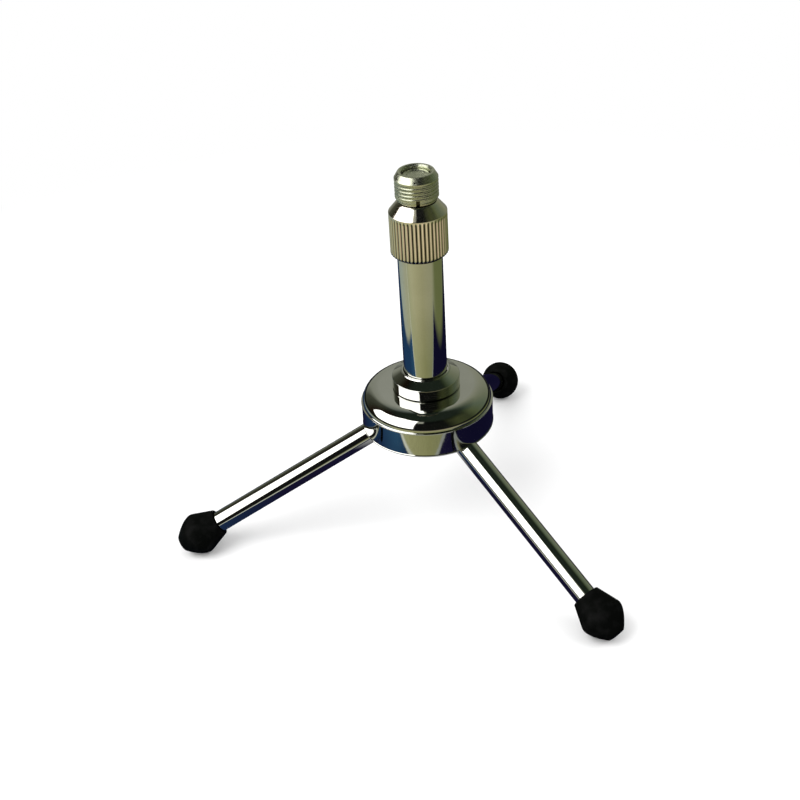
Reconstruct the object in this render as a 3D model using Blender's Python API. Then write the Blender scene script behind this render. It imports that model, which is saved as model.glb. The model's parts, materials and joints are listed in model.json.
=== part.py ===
"""Desktop microphone stand: a folding tripod with a telescopic post.

Frame: origin at the centre of the top face of the microphone stud, +Z up along the post.
The rear leg points along +Y.  In the constants, every height of the hub and the post is
counted from the hub's bottom edge.
"""

import math

import bmesh
import bpy
from mathutils import Vector

MM = 0.001
GAP = 0.3 * MM                  # clearance between neighbouring pieces
EDGE = 0.4 * MM                 # small chamfer that breaks a turned edge

# Legs
LEG_AZIMUTHS = {"rear": 90.0, "left": 210.0, "right": 330.0}
LEG_SLOPE = math.radians(27.7)  # below the horizontal, when open
LEG_LENGTH = 88.1 * MM          # pivot to the widest section of the foot
ROD_RADIUS = 4.0 * MM
ROD_START = 6.5 * MM            # from the pivot to the end of the full section
ROD_CHAMFER = 0.8 * MM
TANG_RADIUS = 3.2 * MM
TANG_THICKNESS = 4.0 * MM
PIN_RADIUS = 1.5 * MM
PIN_CLEARANCE = 0.1 * MM
PIN_LENGTH = 9.6 * MM
PIN_SIDES = 24
TANG_NECK = 1.5 * MM            # how far the tang runs into the full section
PIVOT_RADIUS = 13.0 * MM        # from the post axis
PIVOT_RISE = 3.8 * MM           # above the hub's bottom edge

# Rubber feet, along the rod from the widest section
FOOT_RADIUS = 8.2 * MM
FOOT_MOUTH = -9.0 * MM
FOOT_MOUTH_RADIUS = 5.0 * MM
FOOT_MOUTH_EDGE = 0.3 * MM
FOOT_BELLY = 0.9 * MM           # length of the steep band before the widest section
FOOT_BELLY_DROP = 0.25 * MM
FOOT_END = 8.0 * MM
FOOT_END_RADIUS = 3.2 * MM
FOOT_ROUNDNESS = 1.6            # exponent of the taper; 1 is a straight cone
ROD_IN_FOOT = 1.7 * MM

# Hub
HUB_RADIUS = 24.6 * MM
HUB_HEIGHT = 16.9 * MM
HUB_WALL = 2.2 * MM
HUB_TOP_THICKNESS = 2.4 * MM
HUB_BEVEL = 1.6 * MM
RIM_RADIUS = 23.8 * MM
RIM_HEIGHT = 11.4 * MM
LIP_HEIGHT = 10.8 * MM
FLAT_RADIUS = 17.4 * MM
SHOULDER_SWEEP = math.radians(86)   # how far the shoulder curls down from the flat top
CEILING_RADIUS = 15.4 * MM      # flat part of the ceiling inside
CEILING_FOOT = 1.5 * MM         # inward and downward run of the ceiling to the wall
NOTCH_CLEARANCE = 0.35 * MM
NOTCH_RADIUS = ROD_RADIUS + NOTCH_CLEARANCE
NOTCH_DEPTH = 14.0 * MM
NOTCH_START = 5.0 * MM          # along the rod, from the pivot
NOTCH_END = 24.0 * MM

# Leg carrier inside the hub
PLATE_RADIUS = 19.0 * MM
PLATE_BOTTOM = PIVOT_RISE + 4.3 * MM
PLATE_TOP = PLATE_BOTTOM + 2.8 * MM
BOSS_RADIUS = 6.5 * MM
BOSS_BOTTOM = 6.0 * MM
CROWN_RADIUS = 10.0 * MM
LUG_RADIUS = 3.4 * MM
LUG_GAP = TANG_THICKNESS + 2 * GAP
LUG_WIDTH = 9.2 * MM            # over both lugs of a fork
LUG_ROOT = 1.4 * MM             # how far the lugs run into the plate
SLOT_ROOM = 1.0 * MM            # by which a cutter passes the faces it opens

# Centre bolt, M6
BOLT_RADIUS = 3.0 * MM
BOLT_HOLE = BOLT_RADIUS + GAP
BOLT_HEAD_RADIUS = 5.77 * MM    # 10 mm across flats
BOLT_HEAD_BOTTOM = 0.3 * MM
BOLT_HEAD_TOP = 4.2 * MM
BOLT_TOP = 34.0 * MM
BOLT_POINT = 0.8 * MM
WASHER_RADIUS = 5.2 * MM
WASHER_THICKNESS = 1.2 * MM
WASHER_SPLIT = 0.8 * MM
WASHER_SPLIT_AZIMUTH = math.radians(30)

# Collar and post
COLLAR_RADIUS = 12.5 * MM
COLLAR_EDGE = 21.5 * MM
COLLAR_TOP = 24.1 * MM
COLLAR_CONE = 2.2 * MM          # height of the cone above the flank
COLLAR_LIP_RADIUS = 8.9 * MM
COLLAR_SEAT = 19.3 * MM
TUBE_RADIUS = 8.0 * MM
TUBE_BORE = 6.5 * MM
TUBE_TOP = 84.0 * MM
TUBE_EDGE = 0.5 * MM
PLUG_TOP = 36.5 * MM
PLUG_EDGE = 0.6 * MM

# Clutch nut
NUT_RADIUS = 10.2 * MM
NUT_RIBS = 44
KNURL_DEPTH = 0.4 * MM
NUT_BOTTOM = 71.3 * MM
NUT_BOTTOM_RADIUS = 8.9 * MM
NUT_BOTTOM_CHAMFER = 1.1 * MM
NUT_EDGE = 87.6 * MM            # where the ribs end and the cone starts
NUT_TOP = 91.5 * MM
NUT_TOP_RADIUS = 7.3 * MM
NUT_THREAD = TUBE_RADIUS + GAP
NUT_TAPER_START = TUBE_TOP + 1.6 * MM
NUT_TAPER_END = TUBE_TOP + 5.2 * MM
NUT_TAPER_RADIUS = 7.4 * MM     # at its upper end

# Clutch collet inside the nut
COLLET_RADIUS = 7.8 * MM
COLLET_TOP_RADIUS = 6.9 * MM
COLLET_SKIRT = 1.2 * MM
COLLET_HEIGHT = 4.4 * MM
COLLET_SPLIT = 1.2 * MM
COLLET_SPLIT_AZIMUTH = math.radians(60)

# Sliding inner column
INNER_RADIUS = 6.0 * MM
INNER_BORE = 5.0 * MM
INNER_BOTTOM = 39.3 * MM
INNER_TOP = 90.1 * MM
BUSH_FLANGE = 2.0 * MM
BUSH_FLANGE_RADIUS = TUBE_BORE - 0.25 * MM
BUSH_SPIGOT = 7.0 * MM          # length inside the inner tube
STUD_RADIUS = 4.76 * MM         # 3/8 inch
STUD_TOP = 100.9 * MM
STUD_ROOT = 11.0 * MM           # length pressed into the inner tube

# Thread adapter, for the 5/8 inch thread
ADAPTER_RADIUS = 7.6 * MM       # over the rounded crests
ADAPTER_BOTTOM = 91.9 * MM
ADAPTER_BOTTOM_RADIUS = 6.9 * MM
ADAPTER_BOTTOM_BEVEL = 1.4 * MM
ADAPTER_TOP = 102.2 * MM
ADAPTER_TOP_RADIUS = 6.3 * MM
ADAPTER_TOP_BEVEL = 2.2 * MM
ADAPTER_BORE = STUD_RADIUS + GAP
ADAPTER_MOUTH = 0.5 * MM        # chamfer inside the upper end
SLOT_WIDTH = 1.3 * MM
SLOT_HEIGHT = 2.4 * MM
SLOT_FLOOR = 0.6 * MM           # wall left behind the slot
SLOT_AZIMUTH = math.radians(-67.0)

COARSE = 32
FINE = 48


def clear_scene():
    for obj in list(bpy.data.objects):
        bpy.data.objects.remove(obj, do_unlink=True)


def make_material(name, color, roughness, metallic):
    material = bpy.data.materials.new(name)
    material.use_nodes = True
    shader = material.node_tree.nodes["Principled BSDF"]
    shader.inputs["Base Color"].default_value = (*color, 1.0)
    shader.inputs["Roughness"].default_value = roughness
    shader.inputs["Metallic"].default_value = metallic
    return material


FINISHES = {
    "chrome": ((0.62, 0.62, 0.56), 0.08, 1.0),
    "nickel": ((0.50, 0.50, 0.40), 0.32, 1.0),
    "zinc": ((0.46, 0.47, 0.48), 0.45, 1.0),
    "steel": ((0.42, 0.42, 0.43), 0.35, 1.0),
    "nylon": ((0.80, 0.79, 0.74), 0.50, 0.0),
    "rubber": ((0.012, 0.012, 0.012), 0.70, 0.0),
}


def finish(obj, kind):
    """Give the object its own material, and shade its round faces smooth."""
    color, roughness, metallic = FINISHES[kind]
    obj.data.materials.append(make_material(obj.name, color, roughness, metallic))
    obj.data.shade_smooth()
    obj.data.set_sharp_from_angle(angle=math.radians(35))
    return obj


def new_object(name, bm):
    bmesh.ops.recalc_face_normals(bm, faces=bm.faces)
    mesh = bpy.data.meshes.new(name)
    bm.to_mesh(mesh)
    bm.free()
    obj = bpy.data.objects.new(name, mesh)
    bpy.context.scene.collection.objects.link(obj)
    return obj


def add_turned(bm, outline, segments, along_x=False):
    """Turn a closed outline of (radius, height) points about Z, or about X for a leg's pieces.

    A third value in a point is the depth of the grooves cut into every second vertex there.
    """
    rings = []
    for radius, height, *groove in outline:
        depth = groove[0] if groove else 0.0
        if radius == 0.0:
            centre = (height, 0, 0) if along_x else (0, 0, height)
            rings.append([bm.verts.new(centre)])
            continue
        ring = []
        for i in range(segments):
            angle = 2 * math.pi * i / segments
            r = radius - depth * (i % 2)
            u, v = r * math.cos(angle), r * math.sin(angle)
            ring.append(bm.verts.new((height, u, v) if along_x else (u, v, height)))
        rings.append(ring)
    for lower, upper in zip(rings, rings[1:] + rings[:1]):
        if len(lower) == 1 and len(upper) == 1:
            continue
        for i in range(segments):
            j = (i + 1) % segments
            if len(lower) == 1:
                bm.faces.new((lower[0], upper[j], upper[i]))
            elif len(upper) == 1:
                bm.faces.new((lower[i], lower[j], upper[0]))
            else:
                bm.faces.new((lower[i], lower[j], upper[j], upper[i]))


def turned(name, outline, segments=FINE, along_x=False):
    bm = bmesh.new()
    add_turned(bm, outline, segments, along_x)
    return new_object(name, bm)


def add_prism(bm, outline, half_width, azimuth=0.0, offset=0.0, tilt=0.0, base=0.0):
    """Extrude an outline of (x, z) points to both sides of its plane.

    The prism is tilted down about its origin, moved out by offset and up by base, and turned
    to the azimuth.
    """
    rings = []
    for side in (-half_width, half_width):
        ring = []
        for x, z in outline:
            out = x * math.cos(tilt) + z * math.sin(tilt) + offset
            up = z * math.cos(tilt) - x * math.sin(tilt) + base
            px = out * math.cos(azimuth) - side * math.sin(azimuth)
            py = out * math.sin(azimuth) + side * math.cos(azimuth)
            ring.append(bm.verts.new((px, py, up)))
        rings.append(ring)
    count = len(outline)
    bm.faces.new(rings[0])
    bm.faces.new(rings[1])
    for i in range(count):
        j = (i + 1) % count
        bm.faces.new((rings[0][i], rings[0][j], rings[1][j], rings[1][i]))


def arc(radius, start, end, steps):
    """Points (x, z) along an arc about the origin; angles in degrees from +X."""
    points = []
    for i in range(steps + 1):
        angle = math.radians(start + (end - start) * i / steps)
        points.append((radius * math.cos(angle), radius * math.sin(angle)))
    return points


def circle(radius, sides):
    return arc(radius, 0, 360 * (sides - 1) / sides, sides - 1)


def cutter(name, bm):
    obj = new_object(name, bm)
    obj.hide_render = True
    obj.display_type = "WIRE"
    return obj


def boolean(obj, operand, operation="DIFFERENCE"):
    modifier = obj.modifiers.new(operand.name, "BOOLEAN")
    modifier.operation = operation
    modifier.solver = "EXACT"
    modifier.object = operand
    modifier.show_render = True


def box_outline(x0, x1, z0, z1):
    return [(x0, z0), (x1, z0), (x1, z1), (x0, z1)]


def foot_profile():
    """Outer outline of a foot: (radius, distance past the widest section)."""
    mouth_edge = (FOOT_MOUTH_RADIUS + FOOT_MOUTH_EDGE, FOOT_MOUTH + FOOT_MOUTH_EDGE)
    mouth = [(FOOT_MOUTH_RADIUS, FOOT_MOUTH), mouth_edge]
    belly = [(FOOT_RADIUS - FOOT_BELLY_DROP, -FOOT_BELLY), (FOOT_RADIUS, 0.0)]
    taper = []
    steps = 5
    for i in range(1, steps + 1):
        t = i / steps
        radius = FOOT_END_RADIUS + (FOOT_RADIUS - FOOT_END_RADIUS) * (1 - t ** FOOT_ROUNDNESS)
        taper.append((radius, FOOT_END * t))
    return mouth + belly + taper


HUB_BOTTOM = -STUD_TOP


def raised(obj):
    """Put a piece whose heights are counted from the hub's bottom edge in its place."""
    for piece in [obj] + [modifier.object for modifier in obj.modifiers]:
        piece.location = (0, 0, HUB_BOTTOM)
    return obj


def build_hub():
    steps = 8
    shoulder = []
    for i in range(steps + 1):
        t = SHOULDER_SWEEP * (1 - i / steps)
        radius = FLAT_RADIUS + (RIM_RADIUS - FLAT_RADIUS) * math.sin(t)
        height = RIM_HEIGHT + (HUB_HEIGHT - RIM_HEIGHT) * math.cos(t)
        shoulder.append((radius, height))
    ceiling = HUB_HEIGHT - HUB_TOP_THICKNESS
    inner = HUB_RADIUS - HUB_WALL
    outline = [
        (inner, 0),
        (HUB_RADIUS - HUB_BEVEL, 0),
        (HUB_RADIUS, HUB_BEVEL),
        (HUB_RADIUS, LIP_HEIGHT),
        *shoulder,
        (BOLT_HOLE, HUB_HEIGHT),
        (BOLT_HOLE, ceiling),
        (CEILING_RADIUS, ceiling),
        (inner - CEILING_FOOT, RIM_HEIGHT - EDGE),
        (inner, RIM_HEIGHT - EDGE - CEILING_FOOT),
    ]
    hub = turned("hub_bell", outline, 72)
    bm = bmesh.new()
    notch = arc(NOTCH_RADIUS, 0, 180, 12)
    notch += [(-NOTCH_RADIUS, -NOTCH_DEPTH), (NOTCH_RADIUS, -NOTCH_DEPTH)]
    for degrees in LEG_AZIMUTHS.values():
        add_channel(bm, notch, math.radians(degrees))
    boolean(hub, cutter("leg_notches", bm))
    return finish(raised(hub), "chrome")


def add_channel(bm, outline, azimuth):
    """A straight channel along an open leg, from an outline of (sideways, up) points."""
    rings = []
    for along in (NOTCH_START, NOTCH_END):
        ring = []
        for side, up in outline:
            out = PIVOT_RADIUS + along * math.cos(LEG_SLOPE) + up * math.sin(LEG_SLOPE)
            height = PIVOT_RISE - along * math.sin(LEG_SLOPE) + up * math.cos(LEG_SLOPE)
            x = out * math.cos(azimuth) - side * math.sin(azimuth)
            y = out * math.sin(azimuth) + side * math.cos(azimuth)
            ring.append(bm.verts.new((x, y, height)))
        rings.append(ring)
    count = len(outline)
    bm.faces.new(rings[0])
    bm.faces.new(rings[1])
    for i in range(count):
        j = (i + 1) % count
        bm.faces.new((rings[0][i], rings[0][j], rings[1][j], rings[1][i]))


def build_leg_carrier():
    """Cast block inside the hub: a plate with three forks that hold the leg pins."""
    crown_top = HUB_HEIGHT - HUB_TOP_THICKNESS - GAP
    outline = [
        (BOLT_HOLE, BOSS_BOTTOM),
        (BOSS_RADIUS, BOSS_BOTTOM),
        (BOSS_RADIUS, PLATE_BOTTOM),
        (PLATE_RADIUS - EDGE, PLATE_BOTTOM),
        (PLATE_RADIUS, PLATE_BOTTOM + EDGE),
        (PLATE_RADIUS, PLATE_TOP - EDGE),
        (PLATE_RADIUS - EDGE, PLATE_TOP),
        (CROWN_RADIUS, PLATE_TOP),
        (CROWN_RADIUS, crown_top),
        (BOLT_HOLE, crown_top),
    ]
    carrier = turned("leg_carrier", outline)
    plate_rise = PLATE_BOTTOM - PIVOT_RISE
    lug_top = plate_rise + LUG_ROOT
    lug = arc(LUG_RADIUS, 180, 360, 10) + [(LUG_RADIUS, lug_top), (-LUG_RADIUS, lug_top)]
    half_slot = LUG_RADIUS + SLOT_ROOM
    slot = box_outline(-half_slot, half_slot, -half_slot, plate_rise)
    hole = circle(PIN_RADIUS + PIN_CLEARANCE, PIN_SIDES)
    lugs, slots, holes = bmesh.new(), bmesh.new(), bmesh.new()
    for degrees in LEG_AZIMUTHS.values():
        place = {"azimuth": math.radians(degrees), "offset": PIVOT_RADIUS, "base": PIVOT_RISE}
        add_prism(lugs, lug, LUG_WIDTH / 2, **place)
        add_prism(slots, slot, LUG_GAP / 2, **place)
        add_prism(holes, hole, LUG_WIDTH, **place)
    boolean(carrier, cutter("carrier_lugs", lugs), "UNION")
    boolean(carrier, cutter("carrier_slots", slots))
    boolean(carrier, cutter("carrier_pin_holes", holes))
    return finish(raised(carrier), "zinc")


def build_centre_bolt():
    head = turned("centre_bolt", [
        (0.0, BOLT_HEAD_BOTTOM),
        (BOLT_HEAD_RADIUS - EDGE, BOLT_HEAD_BOTTOM),
        (BOLT_HEAD_RADIUS, BOLT_HEAD_BOTTOM + EDGE),
        (BOLT_HEAD_RADIUS, BOLT_HEAD_TOP),
        (0.0, BOLT_HEAD_TOP),
    ], 6)
    inside_head = (BOLT_HEAD_BOTTOM + BOLT_HEAD_TOP) / 2
    shank = bmesh.new()
    add_turned(shank, [
        (0.0, inside_head),
        (BOLT_RADIUS, inside_head),
        (BOLT_RADIUS, BOLT_TOP - BOLT_POINT),
        (BOLT_RADIUS - BOLT_POINT, BOLT_TOP),
        (0.0, BOLT_TOP),
    ], COARSE)
    boolean(head, cutter("bolt_shank", shank), "UNION")
    return finish(raised(head), "steel")


def build_lock_washer():
    """Split spring washer between the bolt head and the leg carrier."""
    top = BOSS_BOTTOM - GAP
    bottom = top - WASHER_THICKNESS
    washer = turned("lock_washer", [
        (BOLT_HOLE, bottom), (WASHER_RADIUS, bottom), (WASHER_RADIUS, top), (BOLT_HOLE, top),
    ], COARSE)
    split = bmesh.new()
    outline = box_outline(BOLT_RADIUS, 2 * WASHER_RADIUS, bottom - SLOT_ROOM, top + SLOT_ROOM)
    add_prism(split, outline, WASHER_SPLIT / 2, azimuth=WASHER_SPLIT_AZIMUTH)
    boolean(washer, cutter("washer_split", split))
    return finish(raised(washer), "steel")


def build_post_collar():
    bottom = HUB_HEIGHT + GAP
    seat_radius = TUBE_RADIUS + GAP
    collar = turned("post_collar", [
        (BOLT_HOLE, bottom),
        (COLLAR_RADIUS - EDGE, bottom),
        (COLLAR_RADIUS, bottom + EDGE),
        (COLLAR_RADIUS, COLLAR_EDGE),
        (COLLAR_LIP_RADIUS, COLLAR_EDGE + COLLAR_CONE),
        (COLLAR_LIP_RADIUS, COLLAR_TOP),
        (seat_radius, COLLAR_TOP),
        (seat_radius, COLLAR_SEAT),
        (BOLT_HOLE, COLLAR_SEAT),
    ])
    return finish(raised(collar), "chrome")


def build_post_tube():
    bottom = COLLAR_SEAT + GAP
    tube = turned("post_tube", [
        (TUBE_BORE, bottom),
        (TUBE_RADIUS, bottom),
        (TUBE_RADIUS, TUBE_TOP - TUBE_EDGE),
        (TUBE_RADIUS - TUBE_EDGE, TUBE_TOP),
        (TUBE_BORE, TUBE_TOP),
    ])
    return finish(raised(tube), "chrome")


def build_post_plug():
    """Threaded plug pressed into the foot of the tube; the centre bolt screws into it."""
    bottom = COLLAR_SEAT + GAP
    radius = TUBE_BORE - GAP
    plug = turned("post_plug", [
        (BOLT_HOLE, bottom),
        (radius, bottom),
        (radius, PLUG_TOP - PLUG_EDGE),
        (radius - PLUG_EDGE, PLUG_TOP),
        (0.0, PLUG_TOP),
        (0.0, BOLT_TOP + GAP),
        (BOLT_HOLE, BOLT_TOP + GAP),
    ], COARSE)
    return finish(raised(plug), "steel")


def build_clutch_collet():
    """Split plastic ring that the nut wedges against the inner tube."""
    bore = INNER_RADIUS + GAP
    bottom = TUBE_TOP + GAP
    top = bottom + COLLET_HEIGHT
    collet = turned("clutch_collet", [
        (bore, bottom),
        (COLLET_RADIUS, bottom),
        (COLLET_RADIUS, bottom + COLLET_SKIRT),
        (COLLET_TOP_RADIUS, top),
        (bore, top),
    ])
    split = bmesh.new()
    outline = box_outline(INNER_BORE, 2 * COLLET_RADIUS, bottom - SLOT_ROOM, top + SLOT_ROOM)
    add_prism(split, outline, COLLET_SPLIT / 2, azimuth=COLLET_SPLIT_AZIMUTH)
    boolean(collet, cutter("collet_split", split))
    return finish(raised(collet), "nylon")


def build_clutch_nut():
    hole = INNER_RADIUS + GAP
    root = NUT_RADIUS - KNURL_DEPTH
    nut = turned("clutch_nut", [
        (NUT_THREAD, NUT_BOTTOM),
        (NUT_BOTTOM_RADIUS, NUT_BOTTOM),
        (NUT_RADIUS, NUT_BOTTOM + NUT_BOTTOM_CHAMFER, KNURL_DEPTH),
        (NUT_RADIUS, NUT_EDGE - EDGE, KNURL_DEPTH),
        (root, NUT_EDGE),
        (NUT_TOP_RADIUS, NUT_TOP - EDGE),
        (NUT_TOP_RADIUS - EDGE, NUT_TOP),
        (hole, NUT_TOP),
        (hole, NUT_TAPER_END),
        (NUT_TAPER_RADIUS, NUT_TAPER_END),
        (NUT_THREAD, NUT_TAPER_START),
    ], 2 * NUT_RIBS)
    return finish(raised(nut), "chrome")


def build_inner_bush():
    """Guide bush at the lower end of the inner tube; the tube turns on its spigot."""
    flange_top = INNER_BOTTOM - GAP
    flange_bottom = flange_top - BUSH_FLANGE
    spigot_radius = INNER_BORE - GAP
    spigot_top = INNER_BOTTOM + BUSH_SPIGOT
    bush = turned("inner_bush", [
        (0.0, flange_bottom),
        (BUSH_FLANGE_RADIUS, flange_bottom),
        (BUSH_FLANGE_RADIUS, flange_top),
        (spigot_radius, flange_top),
        (spigot_radius, spigot_top),
        (0.0, spigot_top),
    ], COARSE)
    return finish(raised(bush), "nylon")


def build_inner_tube():
    tube = turned("inner_tube", [
        (INNER_BORE, INNER_BOTTOM),
        (INNER_RADIUS, INNER_BOTTOM),
        (INNER_RADIUS, INNER_TOP),
        (INNER_BORE, INNER_TOP),
    ], COARSE)
    return finish(raised(tube), "chrome")


def build_top_stud():
    """Stud pressed into the top of the inner tube, with the smaller microphone thread."""
    flange_bottom = INNER_TOP + GAP
    flange_top = ADAPTER_BOTTOM - GAP
    press_radius = INNER_BORE - GAP
    stud = turned("top_stud", [
        (0.0, INNER_TOP - STUD_ROOT),
        (press_radius, INNER_TOP - STUD_ROOT),
        (press_radius, flange_bottom),
        (INNER_RADIUS, flange_bottom),
        (INNER_RADIUS, flange_top),
        (STUD_RADIUS, flange_top),
        (STUD_RADIUS, STUD_TOP - EDGE),
        (STUD_RADIUS - EDGE, STUD_TOP),
        (0.0, STUD_TOP),
    ], COARSE)
    return finish(raised(stud), "nickel")


def build_thread_adapter():
    """Slotted sleeve that brings the stud up to the larger microphone thread."""
    adapter = turned("thread_adapter", [
        (ADAPTER_BORE, ADAPTER_BOTTOM),
        (ADAPTER_BOTTOM_RADIUS, ADAPTER_BOTTOM),
        (ADAPTER_RADIUS, ADAPTER_BOTTOM + ADAPTER_BOTTOM_BEVEL),
        (ADAPTER_RADIUS, ADAPTER_TOP - ADAPTER_TOP_BEVEL),
        (ADAPTER_TOP_RADIUS, ADAPTER_TOP),
        (ADAPTER_BORE + ADAPTER_MOUTH, ADAPTER_TOP),
        (ADAPTER_BORE, ADAPTER_TOP - ADAPTER_MOUTH),
    ])
    slot = bmesh.new()
    outline = box_outline(ADAPTER_BORE + SLOT_FLOOR, ADAPTER_RADIUS + SLOT_ROOM,
                          ADAPTER_BOTTOM - SLOT_ROOM, ADAPTER_BOTTOM + SLOT_HEIGHT)
    add_prism(slot, outline, SLOT_WIDTH / 2, azimuth=SLOT_AZIMUTH)
    boolean(adapter, cutter("adapter_slot", slot))
    return finish(raised(adapter), "nickel")


def build_leg(name, degrees):
    """One leg on its pivot: the pin, the rod with its flat tang, and the rubber foot."""
    azimuth = math.radians(degrees)
    pivot = bpy.data.objects.new("pivot_" + name, None)
    bpy.context.scene.collection.objects.link(pivot)
    pivot.location = Vector((math.cos(azimuth), math.sin(azimuth), 0)) * PIVOT_RADIUS
    pivot.location.z = HUB_BOTTOM + PIVOT_RISE
    pivot.rotation_euler = (0, LEG_SLOPE, azimuth)

    pin = bmesh.new()
    add_prism(pin, circle(PIN_RADIUS, PIN_SIDES), PIN_LENGTH / 2)
    pin_object = finish(new_object("pivot_pin_" + name, pin), "steel")

    rod_end = LEG_LENGTH + ROD_IN_FOOT
    rod = turned("leg_rod_" + name, [
        (0.0, ROD_START),
        (ROD_RADIUS - ROD_CHAMFER, ROD_START),
        (ROD_RADIUS, ROD_START + ROD_CHAMFER),
        (ROD_RADIUS, rod_end - ROD_CHAMFER),
        (ROD_RADIUS - ROD_CHAMFER, rod_end),
        (0.0, rod_end),
    ], COARSE, along_x=True)
    neck = ROD_START + TANG_NECK
    tang = bmesh.new()
    tang_outline = arc(TANG_RADIUS, 90, 270, 10) + [(neck, -TANG_RADIUS), (neck, TANG_RADIUS)]
    add_prism(tang, tang_outline, TANG_THICKNESS / 2)
    hole = bmesh.new()
    add_prism(hole, circle(PIN_RADIUS + PIN_CLEARANCE, PIN_SIDES), TANG_THICKNESS)
    tang_cutter = cutter("tang_" + name, tang)
    hole_cutter = cutter("tang_hole_" + name, hole)
    boolean(rod, tang_cutter, "UNION")
    boolean(rod, hole_cutter)
    finish(rod, "chrome")

    bore = ROD_RADIUS + GAP
    outer = [(radius, LEG_LENGTH + along) for radius, along in foot_profile()]
    foot = turned("foot_cap_" + name, [
        (bore, LEG_LENGTH + FOOT_MOUTH),
        *outer,
        (0.0, LEG_LENGTH + FOOT_END),
        (0.0, rod_end + GAP),
        (bore, rod_end + GAP),
    ], COARSE, along_x=True)
    finish(foot, "rubber")
    for obj in (pin_object, rod, foot, tang_cutter, hole_cutter):
        obj.parent = pivot


def main():
    clear_scene()
    build_hub()
    build_leg_carrier()
    build_centre_bolt()
    build_lock_washer()
    build_post_collar()
    build_post_tube()
    build_post_plug()
    build_clutch_collet()
    build_clutch_nut()
    build_inner_bush()
    build_inner_tube()
    build_top_stud()
    build_thread_adapter()
    for name, degrees in LEG_AZIMUTHS.items():
        build_leg(name, degrees)
    bpy.context.view_layer.update()


main()
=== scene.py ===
"""Looks of the desktop microphone stand: fine meshes, materials, studio and camera.

Lengths in this script are metres.  Heights of the hub and the post are counted from the hub's
bottom edge; a leg's pieces are built along +X from its pivot and then put on their leg.
"""

import json
import math
from collections import namedtuple

import bmesh
import bpy
from mathutils import Matrix, Vector


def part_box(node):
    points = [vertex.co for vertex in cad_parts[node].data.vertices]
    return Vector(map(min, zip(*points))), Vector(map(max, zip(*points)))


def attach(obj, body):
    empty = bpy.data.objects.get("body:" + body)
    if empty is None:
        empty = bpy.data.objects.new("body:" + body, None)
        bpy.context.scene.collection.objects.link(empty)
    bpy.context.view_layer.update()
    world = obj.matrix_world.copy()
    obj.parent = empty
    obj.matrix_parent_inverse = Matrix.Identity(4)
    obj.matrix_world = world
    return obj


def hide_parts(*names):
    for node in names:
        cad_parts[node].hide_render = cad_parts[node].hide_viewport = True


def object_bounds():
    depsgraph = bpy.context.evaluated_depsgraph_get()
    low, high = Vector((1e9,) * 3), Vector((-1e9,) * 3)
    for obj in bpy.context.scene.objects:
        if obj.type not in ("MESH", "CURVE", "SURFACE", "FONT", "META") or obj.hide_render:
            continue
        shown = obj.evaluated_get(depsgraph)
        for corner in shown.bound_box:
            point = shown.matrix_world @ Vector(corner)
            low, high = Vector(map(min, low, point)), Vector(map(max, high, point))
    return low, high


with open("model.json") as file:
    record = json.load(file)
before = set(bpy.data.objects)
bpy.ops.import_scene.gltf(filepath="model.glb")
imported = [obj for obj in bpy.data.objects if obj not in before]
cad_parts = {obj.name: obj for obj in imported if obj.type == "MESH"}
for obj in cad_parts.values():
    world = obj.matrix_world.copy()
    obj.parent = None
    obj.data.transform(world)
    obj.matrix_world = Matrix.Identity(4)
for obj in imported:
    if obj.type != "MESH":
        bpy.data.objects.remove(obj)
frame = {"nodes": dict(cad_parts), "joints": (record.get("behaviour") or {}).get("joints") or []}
cad_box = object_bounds()

MM = 0.001
UP = Vector((0, 0, 1))
LEGS = ("rear", "left", "right")

# Segments round a turned piece.
HUB_SEGMENTS = 240
POST_SEGMENTS = 192
ADAPTER_SEGMENTS = 144
SMALL_SEGMENTS = 96
SEGMENTS_PER_RIB = 16

HUB_LOW, HUB_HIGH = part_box("hub_bell")
BASE_Z = HUB_LOW.z
HUB_RADIUS = HUB_HIGH.x
HUB_HEIGHT = HUB_HIGH.z - HUB_LOW.z


# ---------------------------------------------------------------- mesh helpers

def rounded(points):
    """Round the corners of a closed outline of (radius, height, fillet) points."""
    steps = 5
    longest = 0.48              # share of a side that one fillet may take up
    result = []
    for i, (r, z, fillet) in enumerate(points):
        if fillet <= 0:
            result.append((r, z))
            continue
        here = Vector((r, z))
        before = Vector(points[i - 1][:2]) - here
        after = Vector(points[(i + 1) % len(points)][:2]) - here
        half = before.angle(after) / 2
        reach = min(fillet / math.tan(half), longest * before.length, longest * after.length)
        start = here + before.normalized() * reach
        end = here + after.normalized() * reach
        middle = (before.normalized() + after.normalized()).normalized()
        centre = here + middle * (reach * math.tan(half) / math.sin(half))
        turn = (start - centre).angle_signed(end - centre)
        for k in range(steps + 1):
            offset = start - centre
            offset.rotate(Matrix.Rotation(-turn * k / steps, 2))
            point = centre + offset
            result.append((point.x, point.y))
    return result


def mesh_object(name, bm):
    mesh = bpy.data.meshes.new(name)
    bm.to_mesh(mesh)
    bm.free()
    obj = bpy.data.objects.new(name, mesh)
    bpy.context.scene.collection.objects.link(obj)
    return obj


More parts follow.
